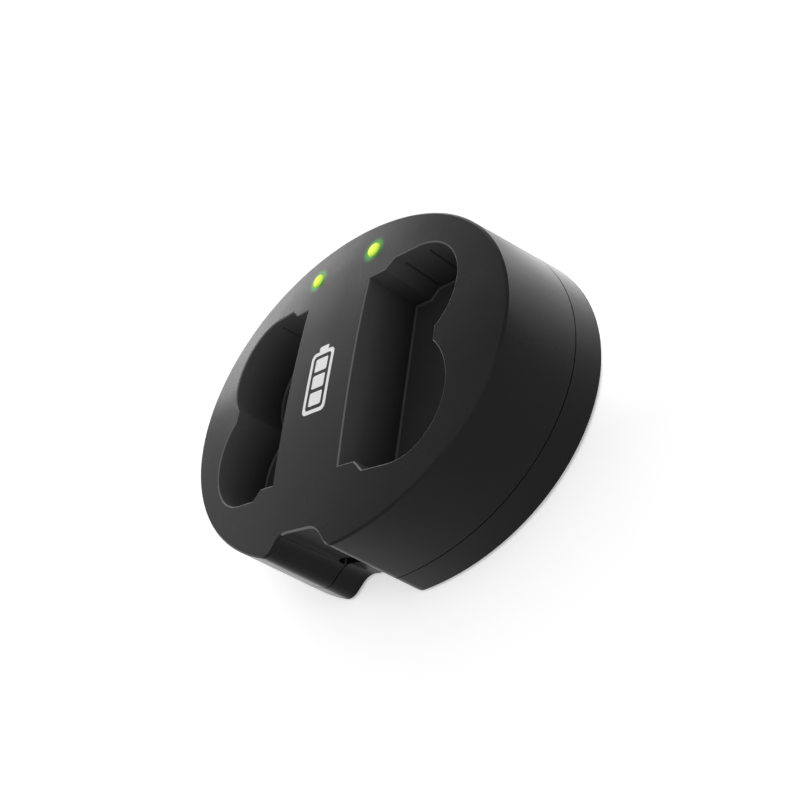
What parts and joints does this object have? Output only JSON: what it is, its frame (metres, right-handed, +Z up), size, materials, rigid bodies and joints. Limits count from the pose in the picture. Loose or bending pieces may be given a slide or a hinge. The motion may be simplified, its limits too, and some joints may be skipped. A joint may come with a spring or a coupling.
{
  "type": "camera battery charger",
  "caption": "Low oval desktop charger with open bays for camera battery packs, blade contacts in the bay floors, status lights and a cable notch with a power socket.",
  "frame": {"origin": "on the supporting surface, under the middle of the oval body", "axes": "+X along the long axis of the oval to the right bay, +Y to the status lights, +Z up"},
  "size_m": [0.0872, 0.0663, 0.0221],
  "materials": {
    "housing_plastic": "fine satin texture, black",
    "cover_plastic": "fine satin texture, black",
    "board": "green solder mask on fibreglass",
    "socket_steel": "plated sheet",
    "socket_plastic": "moulded black",
    "contact_block": "moulded black",
    "contact_metal": "gold flash on spring bronze",
    "light_pipe": "clear green, lit",
    "led_chip": "pale chip package",
    "chip_package": "moulded package",
    "inductor_core": "ferrite",
    "capacitor_body": "ceramic chip",
    "screw_steel": "zinc plated",
    "foot_rubber": "soft black rubber"
  },
  "bodies": {
    "root": {"upper_housing": "housing_plastic", "bottom_cover": "cover_plastic", "circuit_board": "board", "power_socket_shell": "socket_steel", "power_socket_tongue": "socket_plastic", "left_contact_block": "contact_block", "right_contact_block": "contact_block", "left_negative_contact": "contact_metal", "left_sense_contact": "contact_metal", "left_positive_contact": "contact_metal", "right_negative_contact": "contact_metal", "right_sense_contact": "contact_metal", "right_positive_contact": "contact_metal", "left_light_pipe": "light_pipe", "right_light_pipe": "light_pipe", "left_led": "led_chip", "right_led": "led_chip", "left_charge_controller": "chip_package", "right_charge_controller": "chip_package", "left_inductor": "inductor_core", "right_inductor": "inductor_core", "left_capacitor": "capacitor_body", "right_capacitor": "capacitor_body", "left_screw": "screw_steel", "right_screw": "screw_steel", "front_left_foot": "foot_rubber", "front_right_foot": "foot_rubber", "back_left_foot": "foot_rubber", "back_right_foot": "foot_rubber"}
  },
  "joints": []
}
